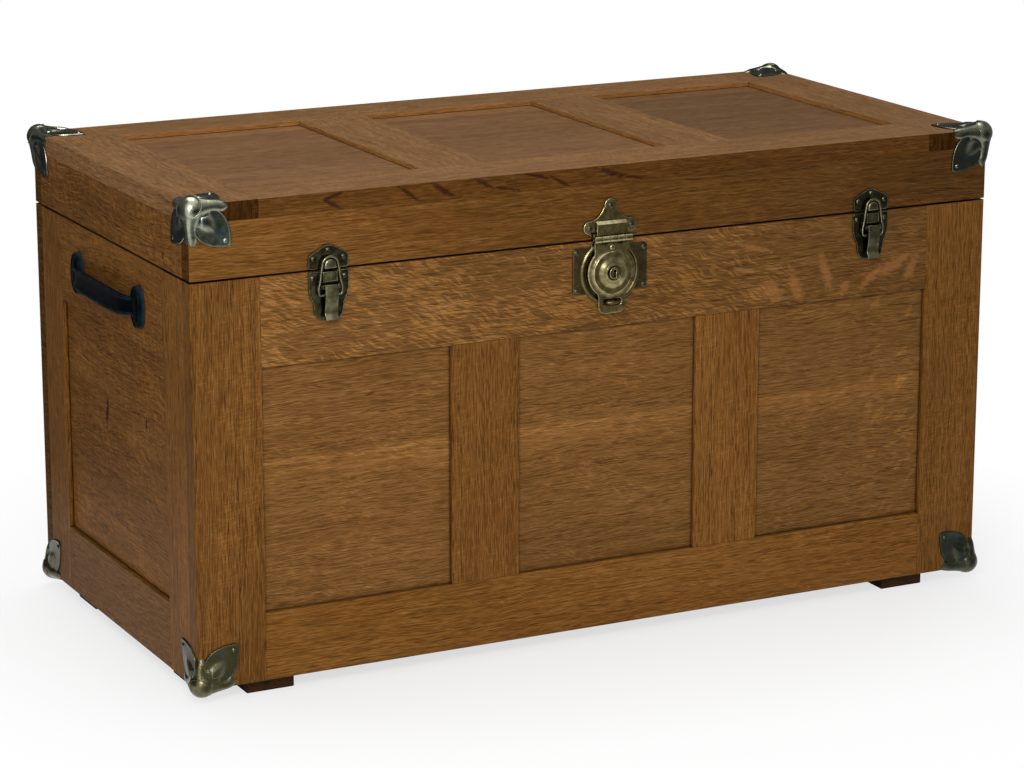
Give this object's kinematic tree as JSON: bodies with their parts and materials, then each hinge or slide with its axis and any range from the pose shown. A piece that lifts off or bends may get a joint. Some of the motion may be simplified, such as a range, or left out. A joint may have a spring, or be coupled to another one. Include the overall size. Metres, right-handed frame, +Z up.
{
  "type": "sea chest",
  "caption": "Panelled oak sea chest with a hinged panelled lid, brass corner clamps, draw bolts, a hasp lock and iron side handles.",
  "frame": {"origin": "on the floor, in the middle of the chest's bounding box", "axes": "+X to the right along the front, +Y to the back, +Z up; the front faces -Y"},
  "size_m": [1.1098, 0.5422, 0.5988],
  "materials": {
    "oak": "stained quarter-sawn oak, satin varnish",
    "dark_oak": "dark stained oak, dull",
    "clamp_brass": "antiqued pressed sheet",
    "lock_brass": "antiqued, rubbed bright on the high spots",
    "dark_brass": "dark patina",
    "hinge_brass": "drawn strip",
    "black_iron": "black enamel, worn on the edges"
  },
  "bodies": {
    "body": {"front_left_post": "oak", "front_right_post": "oak", "front_bottom_rail": "oak", "front_top_rail": "oak", "front_left_mullion": "oak", "front_right_mullion": "oak", "front_left_panel": "oak", "front_middle_panel": "oak", "front_right_panel": "oak", "left_rear_stile": "oak", "right_rear_stile": "oak", "left_bottom_rail": "oak", "left_top_rail": "oak", "left_panel": "oak", "right_bottom_rail": "oak", "right_top_rail": "oak", "right_panel": "oak", "back_board": "oak", "bottom_board": "oak", "front_left_foot": "dark_oak", "front_right_foot": "dark_oak", "back_left_foot": "dark_oak", "back_right_foot": "dark_oak", "body_front_left_clamp": "clamp_brass", "body_front_right_clamp": "clamp_brass", "body_back_left_clamp": "clamp_brass", "body_back_right_clamp": "clamp_brass", "lock_back_plate": "dark_brass", "left_latch_base": "dark_brass", "right_latch_base": "dark_brass", "hinge_body_leaf": "hinge_brass", "left_handle": "black_iron", "right_handle": "black_iron"},
    "lid": {"lid_front_apron": "oak", "lid_back_apron": "oak", "lid_left_apron": "oak", "lid_right_apron": "oak", "lid_front_rail": "oak", "lid_back_rail": "oak", "lid_left_stile": "oak", "lid_right_stile": "oak", "lid_left_mullion": "oak", "lid_right_mullion": "oak", "lid_left_panel": "oak", "lid_middle_panel": "oak", "lid_right_panel": "oak", "lid_front_left_clamp": "clamp_brass", "lid_front_right_clamp": "clamp_brass", "lid_back_left_clamp": "clamp_brass", "lid_back_right_clamp": "clamp_brass", "hasp_mount": "lock_brass", "left_catch": "dark_brass", "right_catch": "dark_brass", "hinge_lid_leaf": "hinge_brass"},
    "hasp": {"hasp": "lock_brass"},
    "key": {"key_plug": "lock_brass"},
    "left_lever": {"left_latch_lever": "lock_brass"},
    "right_lever": {"right_latch_lever": "lock_brass"},
    "left_loop": {"left_latch_loop": "lock_brass"},
    "right_loop": {"right_latch_loop": "lock_brass"}
  },
  "joints": [
    {"name": "lid_hinge", "type": "hinge", "parent": "body", "child": "lid", "pos_m": [0, 0.26526, 0.5], "axis": [-1, 0, 0], "range_deg": [0, 100]},
    {"name": "hasp_hinge", "type": "hinge", "parent": "lid", "child": "hasp", "pos_m": [0, -0.26434, 0.502], "axis": [-1, 0, 0], "range_deg": [0, 120]},
    {"name": "key_turn", "type": "hinge", "parent": "hasp", "child": "key", "pos_m": [0, -0.26474, 0.461], "axis": [0, 1, 0], "range_deg": [0, 90]},
    {"name": "left_lever_hinge", "type": "hinge", "parent": "body", "child": "left_lever", "pos_m": [-0.3645, -0.26374, 0.481], "axis": [-1, 0, 0], "range_deg": [0, 120]},
    {"name": "left_loop_hinge", "type": "hinge", "parent": "left_lever", "child": "left_loop", "pos_m": [-0.3645, -0.26374, 0.4715], "axis": [-1, 0, 0], "range_deg": [-156, 0]},
    {"name": "right_lever_hinge", "type": "hinge", "parent": "body", "child": "right_lever", "pos_m": [0.3645, -0.26374, 0.481], "axis": [-1, 0, 0], "range_deg": [0, 120]},
    {"name": "right_loop_hinge", "type": "hinge", "parent": "right_lever", "child": "right_loop", "pos_m": [0.3645, -0.26374, 0.4715], "axis": [-1, 0, 0], "range_deg": [-156, 0]}
  ],
  "couplings": [
    {"joint": "left_loop_hinge", "follows": "left_lever_hinge", "ratio": -1.3},
    {"joint": "right_loop_hinge", "follows": "right_lever_hinge", "ratio": -1.3}
  ]
}
